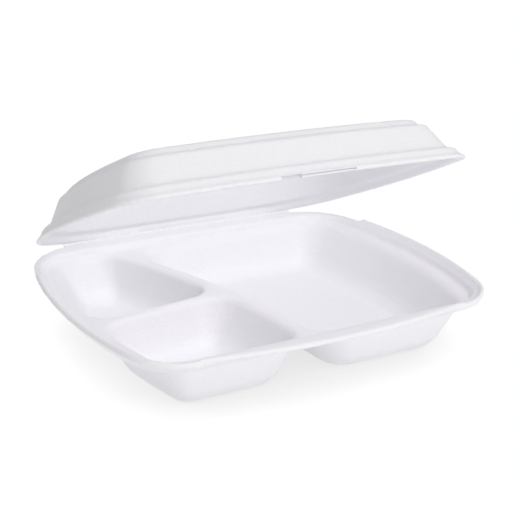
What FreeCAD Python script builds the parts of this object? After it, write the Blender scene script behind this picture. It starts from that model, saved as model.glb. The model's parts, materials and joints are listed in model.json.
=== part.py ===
import FreeCAD, Part
import os
from math import hypot, sqrt

# A hinged meal box of white foam sheet: a tray with one large and two small
# compartments, a domed lid whose lip nests in the tray's rim, and the thin
# strip along the back that joins the two. X runs along the hinge, Y from the
# front lip to the hinge, Z up from the table. The origin lies on the table
# under the middle of the tray. Lengths are millimetres, angles are degrees.

SIZES = [
    ("foam_sheet", 2.4, "thickness of the foam sheet"),
    ("rim_width", 240.0, "overall width, across the rim's bowed sides"),
    ("rim_front", 108.0, "from the origin forward to the middle of the front lip"),
    ("rim_back", 103.6, "from the origin back to the line that the rear corners reach"),
    ("hinge_line", 102.0, "from the origin back to the tray's rear edge"),
    ("side_bulge", 16.0, "how far each side of the rim bows out"),
    ("front_bulge", 15.2, "how far the front lip bows out"),
    ("straight_bulge", 0.6, "how far the straight edges still bow out"),
    ("rim_front_radius", 32.0, "front corners of the rim"),
    ("rim_rear_radius", 44.0, "rear corners of the rim"),
    ("lip_top", 37.4, "height of the rim's lip above the table"),
    ("lip_depth", 2.8, "height of the lip's outer face"),
    ("lip_top_width", 3.6, "width of the lip's top along the sides"),
    ("lip_round", 1.2, "rounding of the lip's outer edges"),
    ("lip_neck", 1.8, "from the nest's edge out to the sheet under the lip"),
    ("nest_front", 97.4, "from the origin forward to the inner edge of the front lip"),
    ("nest_depth", 2.6, "drop from the lip's top to the upper ledge"),
    ("lip_end", 59.4, "from the origin back to where the lip runs out"),
    ("lip_ramp", 4.5, "length of the ramp at the lip's ends"),
    ("upper_ledge_side", 6.0, "from the rim in to the upper ledge's edge, at the sides"),
    ("upper_ledge_front", 91.1, "from the origin forward to the upper ledge's edge"),
    ("upper_ledge_back", 89.9, "from the origin back to the upper ledge's edge"),
    ("upper_ledge_radius", 26.0, "corners of the upper ledge's edge"),
    ("ledge_step", 4.2, "drop from the upper ledge to the lower one"),
    ("step_chamfer", 1.8, "slanted outer edge under that drop"),
    ("well_side", 15.0, "from the rim in to the compartments, at the sides"),
    ("well_front", 86.6, "from the origin forward to the compartments' front edge"),
    ("well_back", 86.4, "from the origin back to the compartments' rear edge"),
    ("large_radius", 20.0, "corners of the large compartment"),
    ("small_radius", 15.0, "corners of the small compartments"),
    ("radius_taper", 9.0, "how much smaller the compartments' corners get towards the floor"),
    ("side_draft", 15.5, "how far the side walls lean in over their height"),
    ("front_draft", 13.0, "how far the front walls lean in over their height"),
    ("back_draft", 12.0, "how far the rear walls lean in over their height"),
    ("foot_radius", 8.0, "rounding between the walls and the floors"),
    ("crest_radius", 3.0, "rounding of the compartments' upper edges"),
    ("small_front_width", 94.0, "from the rim's left corners in to the long divider's front end"),
    ("small_rear_width", 49.0, "from the rim's left corners in to the long divider's rear end"),
    ("divider_bow", 9.5, "how far the long divider bows towards the large compartment"),
    ("divider_half", 4.0, "half the thickness of the dividers, below their rounding"),
    ("divider_large_draft", 19.0, "lean of the long divider's wall in the large compartment"),
    ("divider_front_draft", 12.0, "lean of the long divider's wall in the small front one"),
    ("divider_rear_draft", 5.0, "lean of the long divider's wall in the small rear one"),
    ("cross_left_y", -18.1, "left end of the divider between the small compartments"),
    ("cross_right_y", -7.6, "right end of the divider between the small compartments"),
    ("cross_draft", 6.5, "lean of that divider's walls"),
    ("lid_gap", 0.6, "play between the lid's lip and the rim's lip, at the sides"),
    ("rest_gap", 0.3, "play between the closed lid and the upper ledge"),
    ("lid_front", 96.2, "from the origin forward to the closed lid's front edge"),
    ("lid_front_bulge", 11.2, "how far the lid's front edge bows out"),
    ("crease_line", 105.4, "from the origin back to the crease that the lid turns about"),
    ("lid_rear_reach", 3.6, "how far the lid's rear corners would reach past the crease"),
    ("rear_lip", 1.8, "thickness of the lid's rear lip, in front of the crease"),
    ("lid_front_radius", 24.0, "front corners of the lid's lip"),
    ("lid_rear_radius", 44.0, "rear corners of the lid's lip"),
    ("wall_rear_radius", 64.0, "rear corners of the lid's wall"),
    ("lid_top_radius", 15.0, "front corners of the lid's top"),
    ("lid_top_rear_radius", 44.0, "rear corners of the lid's top"),
    ("lid_height", 28.0, "height of the lid above its lip's underside"),
    ("lid_lip", 2.5, "height of the lid's lip"),
    ("shoulder_rise", 5.2, "rise from the lid's lip to its shoulder"),
    ("shoulder_run", 8.0, "from the lid's edge in to the foot of its wall"),
    ("wall_lean", 7.2, "how far the lid's wall leans in"),
    ("crown_rise", 4.4, "rise from the wall to the flat top"),
    ("crown_run", 9.2, "from the wall in to the flat top"),
    ("lid_angle", 23.2, "how far the lid stands open"),
    ("hinge_length", 166.0, "length of the strip along the hinge"),
    ("strip_thick", 1.2, "thickness of the hinge strip"),
    ("strip_gap", 0.3, "play between the hinge strip and the lid"),
    ("slot_start", -24.0, "left end of the window in the lid's front lip, from the middle"),
    ("slot_width", 11.0, "width of that window"),
    ("slot_height", 2.0, "height of that window"),
    ("slot_rise", 0.3, "from the lip's underside up to the window"),
    ("slit_width", 33.0, "slit beside the window"),
    ("slit_height", 0.5, "height of the slit"),
    ("slit_rise", 1.0, "from the lip's underside up to the slit"),
]

doc = FreeCAD.newDocument("foam_clamshell")
sheet = doc.addObject("Spreadsheet::Sheet", "Sizes")
for row, (alias, number, meaning) in enumerate(SIZES, start=1):
    sheet.set("A%d" % row, meaning)
    sheet.set("B%d" % row, str(number))
    sheet.setAlias("B%d" % row, alias)
doc.recompute()


def size(alias):
    return float(sheet.get(alias))


# Outlines. Every outline is four bowed sides with rounded corners, and each
# side is a circle, so an outline can be grown or shrunk exactly.

def bowed_side(start, end, bulge):
    """Circle through two corners, bowing out (or in, if negative) by bulge."""
    length = hypot(end[0] - start[0], end[1] - start[1])
    outward = ((end[1] - start[1]) / length, (start[0] - end[0]) / length)
    radius = (length * length / 4.0 + bulge * bulge) / (2.0 * abs(bulge))
    sense = 1.0 if bulge > 0 else -1.0
    reach = bulge - sense * radius
    centre = ((start[0] + end[0]) / 2.0 + outward[0] * reach,
              (start[1] + end[1]) / 2.0 + outward[1] * reach)
    return centre, radius, sense


def crossing(centre_a, radius_a, centre_b, radius_b, near):
    """The point where two circles cross, the one nearer to a given point."""
    gap_x = centre_b[0] - centre_a[0]
    gap_y = centre_b[1] - centre_a[1]
    gap = hypot(gap_x, gap_y)
    along = (radius_a ** 2 - radius_b ** 2 + gap ** 2) / (2.0 * gap)
    across = sqrt(radius_a ** 2 - along ** 2)
    found = []
    for hand in (1.0, -1.0):
        found.append((centre_a[0] + (gap_x * along - hand * gap_y * across) / gap,
                      centre_a[1] + (gap_y * along + hand * gap_x * across) / gap))
    return min(found, key=lambda p: hypot(p[0] - near[0], p[1] - near[1]))


def towards(centre, point, radius):
    """The point at a radius from a centre, in the direction of another point."""
    reach = hypot(point[0] - centre[0], point[1] - centre[1])
    return (centre[0] + (point[0] - centre[0]) * radius / reach,
            centre[1] + (point[1] - centre[1]) * radius / reach)


def arc(start, middle, end, height):
    points = [FreeCAD.Vector(x, y, height) for x, y in (start, middle, end)]
    return Part.Arc(*points).toShape()


def outline(sides, corners, insets, radii, height):
    """Wire of four sides moved in by their insets, with rounded corners."""
    shrunk = []
    for (centre, radius, sense), inset in zip(sides, insets):
        shrunk.append((centre, radius - sense * inset, sense))
    rounds = []
    for index in range(4):
        before = shrunk[index - 1]
        after = shrunk[index]
        middle = crossing(before[0], before[1] - before[2] * radii[index],
                          after[0], after[1] - after[2] * radii[index], corners[index])
        rounds.append((middle, towards(before[0], middle, before[1]), towards(after[0], middle, after[1])))
    edges = []
    for index in range(4):
        middle, entry, leave = rounds[index]
        halfway = ((entry[0] + leave[0]) / 2.0, (entry[1] + leave[1]) / 2.0)
        edges.append(arc(entry, towards(middle, halfway, radii[index]), leave, height))
        following = rounds[(index + 1) % 4][1]
        centre, radius, _ = shrunk[index]
        halfway = ((leave[0] + following[0]) / 2.0, (leave[1] + following[1]) / 2.0)
        edges.append(arc(leave, towards(centre, halfway, radius), following, height))
    return Part.Wire(edges)


def stacked(name, wires):
    """Solid that runs straight from each outline to the next one above it."""
    piece = doc.addObject("Part::Feature", name)
    piece.Shape = Part.makeLoft(wires, True, True)
    return piece


def joined(name, pieces):
    fuse = doc.addObject("Part::MultiFuse", name)
    fuse.Shapes = pieces
    return fuse


def cut_away(name, base, tool):
    cut = doc.addObject("Part::Cut", name)
    cut.Base = base
    cut.Tool = tool
    return cut


# The rim's sides, in the order front, right, back, left, and the corners
# front left, front right, back right, back left. The straight ones still
# bow by a hair, as pressed foam does.
hair = size("straight_bulge")
half_width = size("rim_width") / 2.0
corner_x = half_width - size("side_bulge")
corner_y = size("rim_front") - size("front_bulge")
rim_corners = [(-corner_x, -corner_y), (corner_x, -corner_y),
               (corner_x, size("rim_back")), (-corner_x, size("rim_back"))]
rim_bulges = [size("front_bulge"), size("side_bulge"), hair, size("side_bulge")]
rim_sides = [bowed_side(rim_corners[i], rim_corners[(i + 1) % 4], rim_bulges[i]) for i in range(4)]
rim_front_radius = size("rim_front_radius")
rim_rear_radius = size("rim_rear_radius")


def straight_side(distance):
    """Nearly straight side across the tray, at a distance along Y from the origin."""
    reach = corner_x if distance < 0 else -corner_x
    return bowed_side((-reach, distance), (reach, distance), hair)


def rim_outline(inset, height):
    front = rim_front_radius - inset
    rear = rim_rear_radius - inset
    return outline(rim_sides, rim_corners, [inset] * 4, [front, front, rear, rear], height)


nest_sides = [straight_side(-size("nest_front")), rim_sides[1], rim_sides[2], rim_sides[3]]


def nest_outline(inset, height):
    """Inner edge of the lip: it follows the rim, but runs straight in front."""
    front = rim_front_radius - size("lip_top_width") - inset
    rear = rim_rear_radius - size("lip_top_width") - inset
    side = size("lip_top_width") + inset
    return outline(nest_sides, rim_corners, [inset, side, side, side], [front, front, rear, rear], height)


ledge_sides = [straight_side(-size("upper_ledge_front")), rim_sides[1],
               straight_side(size("upper_ledge_back")), rim_sides[3]]


def ledge_outline(inset, height):
    """Inner edge of the upper ledge, where the step to the lower ledge begins."""
    side = size("upper_ledge_side") + inset
    return outline(ledge_sides, rim_corners, [inset, side, inset, side],
                   [size("upper_ledge_radius") - inset] * 4, height)


foam = size("foam_sheet")
lip_top = size("lip_top")
upper_ledge = lip_top - size("nest_depth")
lower_ledge = upper_ledge - size("ledge_step")

# The tray's outside, from the top down: the lip, the plate of the upper
# ledge and the step below it.
lip_bottom = lip_top - size("lip_depth")
lip_round = size("lip_round")
lip_block = stacked("LipBlock", [
    rim_outline(0.3 * lip_round, lip_bottom),
    rim_outline(0.0, lip_bottom + 0.4 * lip_round),
    rim_outline(0.0, lip_top - lip_round),
    rim_outline(0.3 * lip_round, lip_top - 0.3 * lip_round),
    rim_outline(lip_round, lip_top),
])
lip_neck = size("lip_neck")
plate_bottom = upper_ledge - foam
ledge_plate = stacked("UpperLedgePlate", [
    nest_outline(-0.6 * lip_neck, plate_bottom),
    nest_outline(-lip_neck, plate_bottom + 0.4 * foam),
    nest_outline(-lip_neck, upper_ledge),
])
chamfer = size("step_chamfer")
step_bottom = lower_ledge - foam
step_block = stacked("StepBlock", [
    ledge_outline(1.2 * chamfer + 0.4 - foam, step_bottom),
    ledge_outline(0.5 * chamfer - foam, step_bottom + chamfer),
    ledge_outline(-foam, plate_bottom + 0.4 * foam),
])

# What the tray's rim encloses: the nest for the lid, open behind the lip's
# ends, and the space above the lower ledge.
crest = size("crest_radius")
above = lip_top + 2.0 * foam
nest_space = stacked("NestSpace", [
    nest_outline(0.3 * lip_round, upper_ledge),
    nest_outline(0.0, lip_top - 0.6 * lip_round),
    nest_outline(-0.7 * lip_round, lip_top),
    nest_outline(-0.7 * lip_round, above),
])
ramp_rise = above - upper_ledge
ramp_run = size("lip_ramp") * ramp_rise / size("nest_depth")
ramp = [(size("lip_end"), upper_ledge), (size("lip_end") - ramp_run, upper_ledge + ramp_rise),
        (size("rim_back") + half_width, upper_ledge + ramp_rise), (size("rim_back") + half_width, upper_ledge)]
ramp_points = [FreeCAD.Vector(-half_width, y, z) for y, z in ramp]
rear_space = doc.addObject("Part::Feature", "RearSpace")
rear_space.Shape = Part.Face(Part.makePolygon(ramp_points + ramp_points[:1])).extrude(
    FreeCAD.Vector(2.0 * half_width, 0, 0))
step_space = stacked("StepSpace", [
    ledge_outline(1.3, lower_ledge),
    ledge_outline(0.4, upper_ledge - 0.5 * crest),
    ledge_outline(-0.1, upper_ledge - 0.2 * crest),
    ledge_outline(-0.4 * crest, upper_ledge),
    ledge_outline(-0.4 * crest, upper_ledge + 0.5 * size("nest_depth")),
])

# The compartments. The long divider bows towards the large one, and the
# cross divider parts the two small ones.
divider_front = (size("small_front_width") - corner_x, -size("well_front"))
divider_back = (size("small_rear_width") - corner_x, size("well_back"))
front_side = straight_side(-size("well_front"))
back_side = straight_side(size("well_back"))
cross_left = (-corner_x, size("cross_left_y"))
cross_right = (0.5 * (divider_front[0] + divider_back[0]), size("cross_right_y"))
half_divider = size("divider_half")
well_side = size("well_side")
large_well = {
    "corners": [divider_front, (corner_x, divider_front[1]), (corner_x, divider_back[1]), divider_back],
    "sides": [front_side, rim_sides[1], back_side, bowed_side(divider_back, divider_front, -size("divider_bow"))],
    "insets": [0.0, well_side, 0.0, half_divider],
    "drafts": [size("front_draft"), size("side_draft"), size("back_draft"), size("divider_large_draft")],
    "radius": size("large_radius"),
}
front_well = {
    "corners": [(-corner_x, divider_front[1]), divider_front, cross_right, cross_left],
    "sides": [front_side, bowed_side(divider_front, divider_back, size("divider_bow")),
              bowed_side(cross_right, cross_left, hair), rim_sides[3]],
    "insets": [0.0, half_divider, half_divider, well_side],
    "drafts": [size("front_draft"), size("divider_front_draft"), size("cross_draft"), size("side_draft")],
    "radius": size("small_radius"),
}
back_well = {
    "corners": [cross_left, cross_right, divider_back, (-corner_x, divider_back[1])],
    "sides": [bowed_side(cross_left, cross_right, hair), front_well["sides"][1], back_side, rim_sides[3]],
    "insets": [half_divider, half_divider, 0.0, well_side],
    "drafts": [size("cross_draft"), size("divider_rear_draft"), size("back_draft"), size("side_draft")],
    "radius": size("small_radius"),
}
well_height = lower_ledge - foam
foot_radius = size("foot_radius")


def well_levels():
    """Heights over a compartment's floor, closer together where it is rounded."""
    foot = [foot_radius * share for share in (0.0, 0.08, 0.25, 0.5, 1.0)]
    top = [well_height - crest * share for share in (1.0, 0.6, 0.3, 0.1, 0.0)]
    return foot + top


def rounding(depth, radius):
    """Sideways share of a quarter round, at a depth below its start."""
    return radius - sqrt(max(radius * radius - depth * depth, 0.0))


def well_outline(well, level, grown, flare, height):
    low = rounding(max(foot_radius - level, 0.0), foot_radius)
    high = flare * rounding(max(level - (well_height - crest), 0.0), crest)
    lean = 1.0 - level / well_height
    insets = []
    for inset, draft in zip(well["insets"], well["drafts"]):
        insets.append(inset + draft * lean + low - high - grown)
    radius = well["radius"] - size("radius_taper") * lean - 0.4 * low + high + grown
    return outline(well["sides"], well["corners"], insets, [radius] * 4, height)


def well_space(name, well):
    wires = [well_outline(well, level, 0.0, 1.0, foam + level) for level in well_levels()]
    wires.append(well_outline(well, well_height, 0.0, 1.0, lower_ledge + 0.5 * size("ledge_step")))
    return stacked(name, wires)


def well_shell(name, well):
    """Outside of a compartment: the same form, lower by the sheet and a little wider."""
    grown = 0.55 * foam
    wires = [well_outline(well, level, grown, 0.4, level) for level in well_levels()]
    wires.append(well_outline(well, well_height, grown, 0.4, well_height + 0.4 * foam))
    return stacked(name, wires)


tray_outside = joined("TrayOutside", [
    lip_block, ledge_plate, step_block,
    well_shell("LargeShell", large_well),
    well_shell("FrontShell", front_well),
    well_shell("BackShell", back_well),
])
tray_inside = joined("TrayInside", [
    nest_space, rear_space, step_space,
    well_space("LargeSpace", large_well),
    well_space("FrontSpace", front_well),
    well_space("BackSpace", back_well),
])
tray_whole = cut_away("TrayWhole", tray_outside, tray_inside)

# The sheet is trimmed straight along the hinge.
behind_hinge = doc.addObject("Part::Box", "BehindHinge")
behind_hinge.setExpression("Length", "2 * Sizes.rim_width")
behind_hinge.setExpression("Width", "Sizes.rim_width")
behind_hinge.setExpression("Height", "2 * Sizes.lip_top")
behind_hinge.setExpression("Placement.Base.x", "-Sizes.rim_width")
behind_hinge.setExpression("Placement.Base.y", "Sizes.hinge_line")
tray = cut_away("Tray", tray_whole, behind_hinge)
tray.Label = "tray"

# The lid, modelled closed: its lip fills the nest, and its wall rises in
# steps to the flat top.
lid_inset = size("lip_top_width") + size("lid_gap")
lid_base = upper_ledge + size("rest_gap")
lid_corner_y = size("lid_front") - size("lid_front_bulge")
lid_back = size("crease_line") + size("lid_rear_reach")
lid_front_side = bowed_side((-corner_x, -lid_corner_y), (corner_x, -lid_corner_y), size("lid_front_bulge"))
lid_sides = [lid_front_side, rim_sides[1], straight_side(lid_back), rim_sides[3]]
lid_corners = [(-corner_x, -lid_corner_y), (corner_x, -lid_corner_y), (corner_x, lid_back), (-corner_x, lid_back)]
lid_height = size("lid_height")
lid_lip = size("lid_lip")
shoulder = lid_lip + size("shoulder_rise")
shoulder_run = size("shoulder_run")
crown = lid_height - size("crown_rise")
wall_top = shoulder_run + size("wall_lean")
lid_run = wall_top + size("crown_run")
lid_profile = [(0.0, 0.0), (0.0, 0.8 * lid_lip), (0.1 * shoulder_run, lid_lip)]
for run, rise in [(0.3, 0.1), (0.4, 0.45), (0.5, 0.8), (0.65, 0.95), (0.93, 1.0)]:
    lid_profile.append((shoulder_run * run, lid_lip + size("shoulder_rise") * rise))
for run, rise in [(0.03, 0.04), (1.0, 0.84), (1.12, 0.95)]:
    lid_profile.append((shoulder_run + size("wall_lean") * run, shoulder + (crown - shoulder) * rise))
for run, rise in [(0.26, 0.0), (0.5, 0.05), (0.63, 0.48), (0.76, 0.84), (1.0, 1.0)]:
    lid_profile.append((wall_top + size("crown_run") * run, crown + size("crown_rise") * rise))


def between(low, high, share):
    share = min(max(share, 0.0), 1.0)
    return low * (1.0 - share) + high * share


def lid_outline(inset, rise, grown, least_rear=0.0):
    """Outline of the lid; at the back it stays at least least_rear inside the rear line."""
    front = between(size("lid_front_radius"), size("lid_top_radius"), inset / lid_run)
    rear = between(size("lid_rear_radius"), size("wall_rear_radius"), inset / shoulder_run)
    rear = between(rear, size("lid_top_rear_radius"), (inset - shoulder_run) / (lid_run - shoulder_run))
    side = lid_inset + inset + grown
    back = max(inset + grown, least_rear)
    return outline(lid_sides, lid_corners, [inset + grown, side, back, side],
                   [front - grown, front - grown, rear - grown, rear - grown], lid_base + rise)


lid_outside = stacked("LidOutside", [lid_outline(inset, rise, 0.0) for inset, rise in lid_profile])
least_rear = size("lid_rear_reach") + size("rear_lip")
inner_wires = [lid_outline(0.0, -foam, 1.1 * foam, least_rear)]
for inset, rise in lid_profile:
    if rise > foam:
        inner_wires.append(lid_outline(inset, rise - foam, 0.6 * foam, least_rear))
lid_inside = stacked("LidInside", inner_wires)
lid_shell = cut_away("LidShell", lid_outside, lid_inside)

# Behind the crease the lid is trimmed straight, like the tray. A window and
# a slit beside it are cut in the middle of the front lip.
behind_crease = doc.addObject("Part::Box", "BehindCrease")
behind_crease.setExpression("Length", "2 * Sizes.rim_width")
behind_crease.setExpression("Width", "Sizes.rim_width")
behind_crease.setExpression("Height", "Sizes.lip_top + 2 * Sizes.lid_height")
behind_crease.setExpression("Placement.Base.x", "-Sizes.rim_width")
behind_crease.setExpression("Placement.Base.y", "Sizes.crease_line")
closed_base = "Sizes.lip_top - Sizes.nest_depth + Sizes.rest_gap"
window = doc.addObject("Part::Box", "Window")
window.setExpression("Length", "Sizes.slot_width")
window.setExpression("Width", "6 * Sizes.foam_sheet")
window.setExpression("Height", "Sizes.slot_height")
window.setExpression("Placement.Base.x", "Sizes.slot_start")
window.setExpression("Placement.Base.y", "-Sizes.lid_front - Sizes.foam_sheet")
window.setExpression("Placement.Base.z", closed_base + " + Sizes.slot_rise")
slit = doc.addObject("Part::Box", "Slit")
slit.setExpression("Length", "Sizes.slit_width")
slit.setExpression("Width", "6 * Sizes.foam_sheet")
slit.setExpression("Height", "Sizes.slit_height")
slit.setExpression("Placement.Base.x", "Sizes.slot_start + Sizes.slot_width")
slit.setExpression("Placement.Base.y", "-Sizes.lid_front - Sizes.foam_sheet")
slit.setExpression("Placement.Base.z", closed_base + " + Sizes.slit_rise")
lid_cuts = joined("LidCuts", [behind_crease, window, slit])
lid = cut_away("Lid", lid_shell, lid_cuts)
lid.Label = "lid"
crease = FreeCAD.Vector(0, size("crease_line"), lid_base)
lid.Placement = FreeCAD.Placement(
    FreeCAD.Vector(), FreeCAD.Rotation(FreeCAD.Vector(-1, 0, 0), size("lid_angle")), crease)

# The hinge is a strip of the same sheet, pressed thin, from the tray's rear
# edge to just short of the lid.
strip = doc.addObject("Part::Box", "HingeStrip")
strip.Label = "hinge_strip"
strip.setExpression("Length", "Sizes.hinge_length")
strip.setExpression("Width", "Sizes.crease_line - Sizes.hinge_line - Sizes.strip_gap")
strip.setExpression("Height", "Sizes.strip_thick")
strip.setExpression("Placement.Base.x", "-Sizes.hinge_length / 2")
strip.setExpression("Placement.Base.y", "Sizes.hinge_line")
strip.setExpression("Placement.Base.z", "Sizes.lip_top - Sizes.nest_depth - Sizes.strip_thick")

doc.recompute()
for item in doc.Objects:
    if "Invalid" in item.State or "Error" in item.State:
        raise RuntimeError("%s failed: %s" % (item.Name, item.State))
os.makedirs("parts", exist_ok=True)
for piece in (tray, lid, strip):
    shape = piece.Shape
    if shape.isNull() or not shape.isValid() or len(shape.Solids) != 1:
        raise RuntimeError("%s is not one valid solid" % piece.Label)
    shape.exportStep("parts/%s.step" % piece.Label)
    box = shape.BoundBox
    print(piece.Label, "volume %.0f" % shape.Volume, "x %.1f %.1f" % (box.XMin, box.XMax),
          "y %.1f %.1f" % (box.YMin, box.YMax), "z %.1f %.1f" % (box.ZMin, box.ZMax))
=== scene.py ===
import json
import math
import bpy
from mathutils import Matrix, Vector


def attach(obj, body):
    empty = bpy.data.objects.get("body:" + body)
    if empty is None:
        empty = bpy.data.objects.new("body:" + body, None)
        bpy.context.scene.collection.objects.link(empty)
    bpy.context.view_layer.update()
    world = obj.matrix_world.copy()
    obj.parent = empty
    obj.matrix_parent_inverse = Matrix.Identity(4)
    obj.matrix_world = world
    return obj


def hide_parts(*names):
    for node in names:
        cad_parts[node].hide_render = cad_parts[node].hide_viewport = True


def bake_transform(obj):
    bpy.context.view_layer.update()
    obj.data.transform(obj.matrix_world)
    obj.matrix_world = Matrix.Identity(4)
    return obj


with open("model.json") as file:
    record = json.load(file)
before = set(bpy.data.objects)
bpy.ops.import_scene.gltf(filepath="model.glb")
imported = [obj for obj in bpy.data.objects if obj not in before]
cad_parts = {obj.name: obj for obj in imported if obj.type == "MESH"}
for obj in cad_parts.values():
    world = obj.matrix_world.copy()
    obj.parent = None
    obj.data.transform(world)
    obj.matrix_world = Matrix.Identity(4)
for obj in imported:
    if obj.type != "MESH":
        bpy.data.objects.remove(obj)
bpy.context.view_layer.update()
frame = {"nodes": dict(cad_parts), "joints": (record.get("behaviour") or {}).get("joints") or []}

# The tray is one sheet of extruded polystyrene foam, heated and pressed over
# a mould. Every edge of a pressed sheet comes out a little soft, so the exact
# form is taken over in small squares and eased.


def colour(text):
    """sRGB hex to the linear values that shaders take."""
    channels = [int(text[i:i + 2], 16) / 255.0 for i in (1, 3, 5)]
    linear = [c / 12.92 if c <= 0.04045 else ((c + 0.055) / 1.055) ** 2.4 for c in channels]
    return (*linear, 1.0)


def node(tree, kind, settings=None, links=None):
    """Adds one node: settings by socket or property name, links as socket: (node, output)."""
    made = tree.nodes.new("ShaderNode" + kind)
    for name, value in (settings or {}).items():
        if name in made.inputs:
            made.inputs[name].default_value = value
        else:
            setattr(made, name, value)
    for name, (source, output) in (links or {}).items():
        tree.links.new(source.outputs[output], made.inputs[name])
    return made


def foam_material(name, hex_colour, roughness):
    """Extruded polystyrene foam: white, satin from its pressed skin, with a fine grain of cells.

    The cells are about 0.4 mm wide, too fine for the render, so they are
    drawn at 0.9 mm. Wider, flatter dents come from the sheet's stretching,
    and faint flecks from cells that lie deeper.
    """
    cell_width, dent_width, fleck_width = 0.0009, 0.006, 0.0016
    cell_depth, dent_depth = 0.00010, 0.00022
    material = bpy.data.materials.new(name)
    material.use_nodes = True
    tree = material.node_tree
    tree.nodes.clear()
    place = node(tree, "TexCoord")
    cells = node(tree, "TexVoronoi",
                 {"Scale": 1.0 / cell_width, "feature": "SMOOTH_F1", "Smoothness": 0.6},
                 {"Vector": (place, "Object")})
    dents = node(tree, "TexNoise",
                 {"Scale": 1.0 / dent_width, "Detail": 3.0, "Roughness": 0.55},
                 {"Vector": (place, "Object")})
    flecks = node(tree, "TexNoise",
                  {"Scale": 1.0 / fleck_width, "Detail": 4.0, "Roughness": 0.7},
                  {"Vector": (place, "Object")})
    shade = node(tree, "ValToRGB", links={"Fac": (flecks, "Fac")})
    pale = colour(hex_colour)
    dim = (pale[0] * 0.955, pale[1] * 0.955, pale[2] * 0.96, 1.0)
    shade.color_ramp.elements[0].position = 0.3
    shade.color_ramp.elements[1].position = 0.62
    shade.color_ramp.elements[0].color = dim
    shade.color_ramp.elements[1].color = pale
    wide = node(tree, "Bump", {"Strength": 0.35, "Distance": dent_depth},
                {"Height": (dents, "Fac")})
    fine = node(tree, "Bump", {"Strength": 0.5, "Distance": cell_depth},
                {"Height": (cells, "Distance"), "Normal": (wide, "Normal")})
    surface = node(tree, "BsdfPrincipled",
                   {"Roughness": roughness, "IOR": 1.5, "Specular IOR Level": 0.35,
                    "Subsurface Weight": 0.1, "Subsurface Radius": (1.0, 1.0, 1.0),
                    "Subsurface Scale": 0.001},
                   {"Base Color": (shade, "Color"), "Normal": (fine, "Normal")})
    node(tree, "OutputMaterial", links={"Surface": (surface, "BSDF")})
    return material


def activate(piece):
    """Makes a piece the only selected one, and the one that the next step works on."""
    bpy.ops.object.select_all(action="DESELECT")
    piece.select_set(True)
    bpy.context.view_layer.objects.active = piece


def merged_copy(part, name):
    """A copy of a CAD node as one closed mesh, for a piece that stands for it."""
    piece = bpy.data.objects.new(name, frame["nodes"][part].data.copy())
    bpy.context.scene.collection.objects.link(piece)
    piece.data.materials.clear()
    activate(piece)
    bpy.ops.object.mode_set(mode="EDIT")
    bpy.ops.mesh.select_all(action="SELECT")
    bpy.ops.mesh.remove_doubles(threshold=0.000002)
    bpy.ops.object.mode_set(mode="OBJECT")
    return piece


def eased(piece, square, passes):
    """Lays the form out in small squares and eases its edges."""
    activate(piece)
    remesh = piece.modifiers.new("squares", "REMESH")
    remesh.mode = "VOXEL"
    remesh.voxel_size = square
    ease = piece.modifiers.new("ease", "SMOOTH")
    ease.factor = 0.5
    ease.iterations = passes
    bpy.ops.object.modifier_apply(modifier=remesh.name)
    bpy.ops.object.modifier_apply(modifier=ease.name)
    bpy.ops.object.shade_smooth()


foam = foam_material("thermoformed polystyrene foam", "#FBFAFD", 0.5)
foam_square, easing_passes = 0.0012, 3
tray = merged_copy("tray", "foam_tray")
eased(tray, foam_square, easing_passes)
tray.data.materials.append(foam)
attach(tray, "tray")
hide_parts("tray")

# The lid is pressed from the same sheet. Its window and the slit beside it
# are punched afterwards, so they keep sharp edges: they are closed first,
# the form is eased, and then they are cut again.
joint = frame["joints"][0]
crease = Vector(joint["pos_m"])
opened = math.radians(-joint["range_deg"][0])
to_closed = Matrix.Rotation(opened, 4, "X") @ Matrix.Translation(-crease)
to_open = to_closed.inverted()
window_start, window_width, window_rise, window_height = -0.0240, 0.0110, 0.0003, 0.0020
slit_width, slit_rise, slit_height = 0.0330, 0.0010, 0.0006
slit_overlap = 0.0005
front_lip, die_depth = -0.2010, 0.02


def select_faces(piece, wanted):
    """Selects, in edit mode, the faces whose centre and normal on the closed lid are wanted."""
    turn = to_closed.to_3x3()
    bpy.ops.object.mode_set(mode="OBJECT")
    for face in piece.data.polygons:
        face.select = wanted(to_closed @ face.center, turn @ face.normal)
    bpy.ops.object.mode_set(mode="EDIT")


def in_punched_hole(centre, normal):
    """True for the faces inside the window and the slit, and false for the lip's front and back."""
    margin, behind_lip, foot, top, side_on = 0.0002, -0.19, 0.0001, 0.0024, 0.3
    last = window_start + window_width + slit_width + margin
    across = window_start - margin < centre.x < last
    return across and centre.y < behind_lip and foot < centre.z < top and abs(normal.y) < side_on


lid = merged_copy("lid", "foam_lid")
bpy.ops.object.mode_set(mode="EDIT")
bpy.ops.mesh.select_mode(type="FACE")
bpy.ops.mesh.select_all(action="DESELECT")
select_faces(lid, in_punched_hole)
bpy.ops.mesh.delete(type="FACE")
bpy.ops.mesh.select_all(action="SELECT")
bpy.ops.mesh.fill_holes(sides=0)
bpy.ops.object.mode_set(mode="OBJECT")
eased(lid, foam_square, easing_passes)


def punch(piece, start, width, rise, height):
    """Cuts an upright hole through the middle of the front lip."""
    middle = Vector((start + width / 2.0, front_lip, rise + height / 2.0))
    bpy.ops.object.select_all(action="DESELECT")
    bpy.ops.mesh.primitive_cube_add(size=1.0)
    die = bpy.context.object
    die_size = Matrix.Diagonal((width, die_depth, height, 1.0))
    die.data.transform(to_open @ Matrix.Translation(middle) @ die_size)
    activate(piece)
    cut = piece.modifiers.new("punch", "BOOLEAN")
    cut.object = die
    cut.operation = "DIFFERENCE"
    cut.solver = "EXACT"
    bpy.ops.object.modifier_apply(modifier=cut.name)
    bpy.data.objects.remove(die)


punch(lid, window_start, window_width, window_rise, window_height)
punch(lid, window_start + window_width - slit_overlap, slit_width, slit_rise, slit_height)
lid.data.materials.clear()
lid.data.materials.append(foam)
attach(lid, "lid")
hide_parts("lid")

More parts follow.
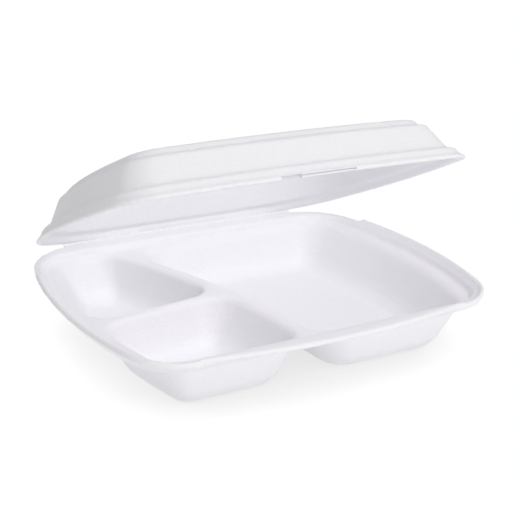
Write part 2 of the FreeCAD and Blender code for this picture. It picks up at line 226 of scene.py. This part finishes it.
# The hinge is the same sheet, pressed thin between the tray and the lid and
# perforated along the crease, so that it folds there. It runs on up the inside
# of the lid's rear edge, less far at its ends.
cuts, cut_share, half_length, thickness = 40, 0.62, 0.083, 0.0011
course = [(0.1014, 0.03415), (0.1030, 0.0342), (0.1044, 0.0342), (0.10505, 0.03455),
          (0.10545, 0.0351), (0.1056, 0.0360), (0.1057, 0.0370), (0.1056, 0.0382)]
fold = 4
taper_start, taper_length, least_share = 0.080, 0.018, 0.3
stations = [-half_length]
for number in range(cuts):
    for share in (0.5 - cut_share / 2.0, 0.5 + cut_share / 2.0):
        stations.append(-half_length + 2.0 * half_length * (number + share) / cuts)
stations.append(half_length)
columns, rows = len(stations) - 1, len(course) - 1
bpy.ops.object.select_all(action="DESELECT")
bpy.ops.mesh.primitive_grid_add(x_subdivisions=columns, y_subdivisions=rows, size=2.0)
hinge = bpy.context.object
hinge.name = "foam_hinge"


def place_on_grid(point):
    """Column and row of a point of the flat grid."""
    return ((point.x + 1.0) / 2.0 * columns, (point.y + 1.0) / 2.0 * rows)


for face in hinge.data.polygons:
    column, row = place_on_grid(face.center)
    face.select = int(column) % 2 == 1 and int(row) == fold - 1
for vertex in hinge.data.vertices:
    column, row = place_on_grid(vertex.co)
    along, (across, height) = stations[round(column)], course[round(row)]
    if row > fold:
        share = min(max((taper_start - abs(along)) / taper_length, least_share), 1.0)
        across = course[fold][0] + share * (across - course[fold][0])
        height = course[fold][1] + share * (height - course[fold][1])
    vertex.co = (along, across, height)
bpy.ops.object.mode_set(mode="EDIT")
bpy.ops.mesh.delete(type="FACE")
bpy.ops.object.mode_set(mode="OBJECT")
sheet = hinge.modifiers.new("sheet", "SOLIDIFY")
sheet.thickness = thickness
sheet.offset = 0.0
bpy.ops.object.modifier_apply(modifier=sheet.name)
bpy.ops.object.shade_smooth_by_angle(angle=0.6)
hinge.data.materials.append(foam)
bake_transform(hinge)
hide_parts("hinge_strip")

# The floor is plain white card, brightly lit. To the camera it shows as even white
# with a painted shadow: it is drawn grey only where the box stands close over it.
# The box itself gets light from it as from pale card with a faint glow.
bpy.ops.object.select_all(action="DESELECT")
bpy.ops.mesh.primitive_plane_add(size=8.0, location=(0.0, 0.0, -0.0002))
floor = bpy.context.object
floor.name = "floor"
card = bpy.data.materials.new("white card with painted shadow")
card.use_nodes = True
tree = card.node_tree
tree.nodes.clear()
ray = node(tree, "LightPath")
# Painted shadow: how closely the box stands over each point sets how grey the camera sees the
# floor.
painted_shadow_closeness = node(tree, "AmbientOcclusion", {"samples": 16, "Distance": 0.05})
painted_shadow_grey = node(tree, "MapRange", {"From Max": 0.52, "To Min": 0.76, "To Max": 1.02},
            {"Value": (painted_shadow_closeness, "AO")})
floor_seen_with_painted_shadow = node(tree, "Emission", {"Color": (1.0, 1.0, 1.0, 1.0)}, {"Strength": (painted_shadow_grey, "Result")})
reflected = node(tree, "BsdfDiffuse", {"Color": (0.92, 0.92, 0.92, 1.0)})
glow = node(tree, "Emission", {"Color": (0.28, 0.28, 0.28, 1.0), "Strength": 1.0})
sent_up = node(tree, "AddShader")
tree.links.new(reflected.outputs[0], sent_up.inputs[0])
tree.links.new(glow.outputs[0], sent_up.inputs[1])
either = node(tree, "MixShader", links={"Fac": (ray, "Is Camera Ray")})
tree.links.new(sent_up.outputs[0], either.inputs[1])
tree.links.new(floor_seen_with_painted_shadow.outputs[0], either.inputs[2])
node(tree, "OutputMaterial", links={"Surface": (either, "Shader")})
floor.data.materials.append(card)

# Soft studio light: an even white room, a wide lamp high in front and a weak
# one overhead. Foam this thin lets light through, so these two cast no shadow
# on it. A third lamp lights only the table.
world = bpy.data.worlds.new("studio")
bpy.context.scene.world = world
world.use_nodes = True
tree = world.node_tree
tree.nodes.clear()
ray = node(tree, "LightPath")
room = node(tree, "Background", {"Color": (0.99, 0.985, 1.0, 1.0), "Strength": 0.43})
backdrop = node(tree, "Background", {"Color": (1.0, 1.0, 1.0, 1.0), "Strength": 1.0})
choice = node(tree, "MixShader", links={"Fac": (ray, "Is Camera Ray")})
tree.links.new(room.outputs[0], choice.inputs[1])
tree.links.new(backdrop.outputs[0], choice.inputs[2])
node(tree, "OutputWorld", links={"Surface": (choice, "Shader")})


def soft_lamp(name, place, width, power, lit, casts_shadow):
    """A wide lamp, aimed at the middle of the box, that lights only the named objects."""
    box_middle = Vector((0.0, 0.0, 0.05))
    lamp = bpy.data.lights.new(name, "AREA")
    lamp.size = width
    lamp.energy = power
    lamp.use_shadow = casts_shadow
    holder = bpy.data.objects.new(name, lamp)
    bpy.context.scene.collection.objects.link(holder)
    holder.location = place
    holder.rotation_euler = (Vector(place) - box_middle).to_track_quat("Z", "Y").to_euler()
    group = bpy.data.collections.new(name + " lights")
    for thing in lit:
        group.objects.link(thing)
    holder.light_linking.receiver_collection = group


soft_lamp("key", (0.22, -1.36, 1.21), 0.9, 12.8, (tray, lid, hinge), False)
soft_lamp("overhead", (0.0, -0.16, 1.84), 0.9, 2.8, (tray, lid, hinge), False)
soft_lamp("table lamp", (0.1, 0.1, 1.5), 1.2, 7.5, (floor,), True)

# The camera stands where the photograph was taken from: 28 degrees to the
# left of straight ahead, looking 19.5 degrees down from 0.6 m away.
camera = bpy.data.cameras.new("camera")
camera.sensor_width = 36.0
camera.lens = 70.2
holder = bpy.data.objects.new("camera", camera)
bpy.context.scene.collection.objects.link(holder)
target = Vector((0.0057, 0.0014, 0.0425))
turned, raised, distance = math.radians(-27.8), math.radians(19.5), 0.6047
back = Vector((math.sin(turned) * math.cos(raised),
               -math.cos(turned) * math.cos(raised),
               math.sin(raised)))
holder.location = target + back * distance
holder.rotation_euler = (-back).to_track_quat("-Z", "Y").to_euler()
bpy.context.scene.camera = holder
bpy.context.scene.view_settings.view_transform = "Standard"
